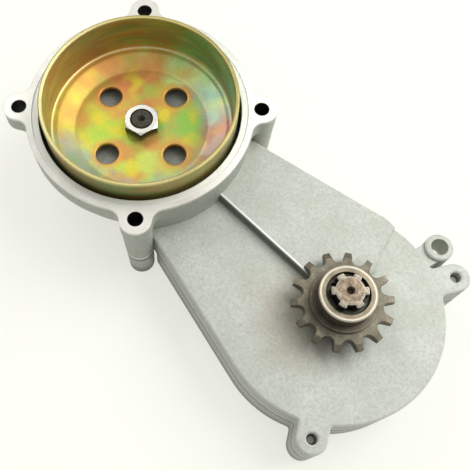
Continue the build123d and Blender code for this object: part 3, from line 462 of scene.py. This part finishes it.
# Sprocket: 14 teeth for 8 mm pitch chain, turned and milled from steel in one piece with its hub,
# unplated. It slides on the splines, and its circlip lies in the hub's counterbore.
sprocket_feed = 0.4 * mm
hub_r = 12.5 * mm
hub_end_z = 1.1 * mm
hub_edge_r = 10.1 * mm
counterbore_r = 8.3 * mm
material, tree, place = start_finish("oily turned steel")
# Oily steel is brown grey, with painted shade on the hub's side and in the counterbore, and the
# turned end of the hub is paler with a painted highlight on its edge. The turning feed of 0.1 mm
# is drawn at 0.4 mm.
height = add(tree, "ShaderNodeSeparateXYZ", {0: place}).outputs["Z"]
output_distance = from_axis(tree, place, output_x)
smear = add(tree, "ShaderNodeTexNoise",
            {"Vector": place, "Scale": 1 / (5.0 * mm), "Detail": 4.0, "Roughness": 0.6})
specks = add(tree, "ShaderNodeTexNoise",
             {"Vector": place, "Scale": 1 / (0.5 * mm), "Detail": 3.0, "Roughness": 0.6})
steel = add(tree, "ShaderNodeValToRGB", {"Fac": smear},
            stops=((0.3, "#5e584a"), (0.55, "#777060"), (0.75, "#8d8674")))
steel = over(tree, steel, "#494437", 0.4, zone(tree, specks, low=0.52, edge=0.2))
# Painted shade on the hub's side.
steel = over(tree, steel, "#453d30", 0.5, zone(tree, output_distance, high=hub_r, edge=1.0 * mm))
hub_end = add(tree, "ShaderNodeValToRGB", {"Fac": smear},
              stops=((0.35, "#766d5b"), (0.65, "#968b75")))
# Painted highlight on the outer edge of the hub's end.
hub_end = over(tree, hub_end, "#dfd6c0", 1.0,
               zone(tree, output_distance, low=hub_edge_r, edge=0.9 * mm))
steel = add(tree, "ShaderNodeMix",
            {0: zone(tree, height, low=hub_end_z, edge=0.3 * mm), 6: steel, 7: hub_end},
            data_type="RGBA")
# Painted shade in the counterbore.
steel = over(tree, steel, "#1f1a14", 0.85,
             zone(tree, output_distance, high=counterbore_r, edge=0.2 * mm),
             zone(tree, height, high=1.0 * mm, edge=1.2 * mm))
ring_phase = add(tree, "ShaderNodeMath", {0: output_distance, 1: 2 * math.pi / sprocket_feed},
                 operation="MULTIPLY")
rings = add(tree, "ShaderNodeMath", {0: ring_phase}, operation="SINE")
rounded = add(tree, "ShaderNodeBevel", {"Radius": 0.3 * mm}, samples=4)
bump = add(tree, "ShaderNodeBump",
           {"Strength": 0.2, "Distance": 0.06 * mm, "Height": rings, "Normal": rounded})
dress(material, {"Base Color": steel, "Metallic": 0.7, "Roughness": 0.38, "Normal": bump},
      "sprocket")

# Table: a plain sheet of white paper that the back cover stands on, with nothing to fix it.
# Matt paper keeps the soft cream shadow. To the camera and in the metal it partly glows, so that
# it is white there without more light on the part.
table_reach = 2.0
glow_share = 0.66
table_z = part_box("back_cover")[0].z
table_mesh = bpy.data.meshes.new("table")
corners = [(x * table_reach, y * table_reach, table_z)
           for x, y in ((-1, -1), (1, -1), (1, 1), (-1, 1))]
table_mesh.from_pydata(corners, [], [(0, 1, 2, 3)])
table = bpy.data.objects.new("table", table_mesh)
bpy.context.scene.collection.objects.link(table)
sheet = bpy.data.materials.new("matt white paper")
sheet.use_nodes = True
tree = sheet.node_tree
tree.nodes.clear()
rays = add(tree, "ShaderNodeLightPath").outputs
seen = add(tree, "ShaderNodeMath", {0: rays["Is Camera Ray"], 1: rays["Is Glossy Ray"]},
           operation="MAXIMUM")
seen = add(tree, "ShaderNodeMath", {0: seen, 1: rays["Is Transmission Ray"]}, operation="MAXIMUM")
paper = add(tree, "ShaderNodeMix", {0: seen, 6: linear("#dcdcd8"), 7: linear("#fffff4")},
            data_type="RGBA")
matt = add(tree, "ShaderNodeBsdfDiffuse", {"Color": paper})
glow = add(tree, "ShaderNodeEmission", {"Color": linear("#fffff6"), "Strength": 1.0})
share = add(tree, "ShaderNodeMath", {0: seen, 1: glow_share}, operation="MULTIPLY")
mixed = add(tree, "ShaderNodeMixShader", {0: share, 1: matt, 2: glow})
add(tree, "ShaderNodeOutputMaterial", {"Surface": mixed})
table_mesh.materials.append(sheet)

# Room: a small photo studio with pale, even walls, brighter overhead than at the table's height.
# The camera sees plain white behind the table.
room_strength = 0.62
room_tones = ((0.0, "#77756f"), (0.35, "#a9aaa8"), (0.8, "#f2f5f6"), (1.0, "#ffffff"))
room = bpy.data.worlds.new("studio")
bpy.context.scene.world = room
bpy.context.scene.view_settings.view_transform = "Standard"
room.use_nodes = True
tree = room.node_tree
tree.nodes.clear()
direction = add(tree, "ShaderNodeTexCoord").outputs["Generated"]
height = add(tree, "ShaderNodeSeparateXYZ", {0: direction}).outputs["Z"]
walls = add(tree, "ShaderNodeValToRGB", {"Fac": height}, stops=room_tones)
light = add(tree, "ShaderNodeBackground", {"Color": walls, "Strength": room_strength})
white = add(tree, "ShaderNodeBackground", {"Color": linear("#ffffff"), "Strength": 1.0})
rays = add(tree, "ShaderNodeLightPath").outputs
shown = add(tree, "ShaderNodeMixShader", {0: rays["Is Camera Ray"], 1: light, 2: white})
add(tree, "ShaderNodeOutputWorld", {"Surface": shown})

# Lamps: two square soft boxes that point at the gear case. The main one stands behind the part on
# its upper side, and a smaller, weaker one beyond the drum fills the shadows.
lamp_target = Vector((60.0 * mm, 0.0, -20.0 * mm))
for name, place, width, power in (("main_lamp", (0.35, 0.75, 0.85), 0.95, 11.5),
                                  ("fill_lamp", (-0.7, 0.1, 0.7), 0.5, 2.5)):
    soft_box = bpy.data.lights.new(name, "AREA")
    soft_box.shape = "SQUARE"
    soft_box.size = width
    soft_box.energy = power
    lamp = bpy.data.objects.new(name, soft_box)
    lamp.location = place
    lamp.rotation_mode = "QUATERNION"
    lamp.rotation_quaternion = (lamp_target - Vector(place)).to_track_quat("-Z", "Y")
    bpy.context.scene.collection.objects.link(lamp)

# Camera: above the sprocket side and a quarter of a metre over the rim, looking steeply down and
# towards the drum. Heading, tilt and roll are in degrees, and the lens is in millimetres.
heading, tilt, roll = (math.radians(degrees) for degrees in (135.22, 68.06, 0.50))
camera_place = (0.12499, -0.09489, 0.23666)
forward = Vector((math.cos(tilt) * math.cos(heading), math.cos(tilt) * math.sin(heading),
                  -math.sin(tilt)))
level = Vector((math.sin(heading), -math.cos(heading), 0.0))
right = level * math.cos(roll) + level.cross(forward) * math.sin(roll)
up = right.cross(forward)
camera = bpy.data.objects.new("camera", bpy.data.cameras.new("camera"))
camera.matrix_world = Matrix([(right[i], up[i], -forward[i], camera_place[i]) for i in range(3)]
                             + [(0.0, 0.0, 0.0, 1.0)])
camera.data.lens = 50.80
camera.data.shift_x = 0.0990
camera.data.shift_y = 0.0141
camera.data.clip_start = 10.0 * mm
bpy.context.scene.collection.objects.link(camera)
bpy.context.scene.camera = camera
